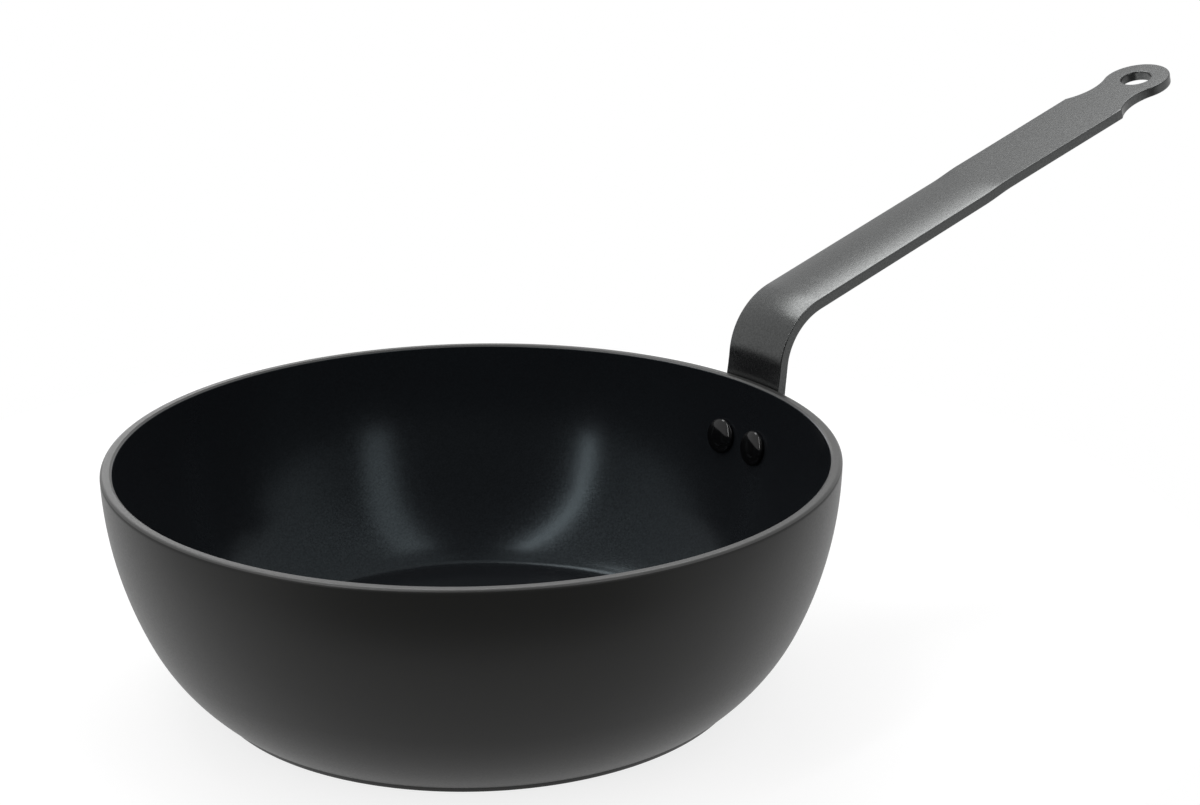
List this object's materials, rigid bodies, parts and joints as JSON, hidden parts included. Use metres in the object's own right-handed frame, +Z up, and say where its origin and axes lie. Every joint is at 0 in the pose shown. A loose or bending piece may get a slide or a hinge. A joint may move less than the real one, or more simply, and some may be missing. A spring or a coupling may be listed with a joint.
{
  "type": "saucier",
  "caption": "Round-bellied black saucier pan with a flat steel-plated base and a long rising strip handle, riveted on and ending in a hanging eye.",
  "frame": {"origin": "middle of the underside, where the pan stands", "axes": "+Z up along the bowl's axis, +X out along the handle"},
  "size_m": [0.4503, 0.24, 0.1678],
  "materials": {
    "bowl_lacquer": "matte black lacquer outside, glossy black non-stick coat inside",
    "base_steel": "brushed, perforated",
    "handle_coat": "fine grained satin black powder coat",
    "rivet_black": "glossy black"
  },
  "bodies": {
    "root": {"bowl": "bowl_lacquer", "base_plate": "base_steel", "handle": "handle_coat", "rivet_left": "rivet_black", "rivet_right": "rivet_black"}
  },
  "joints": []
}
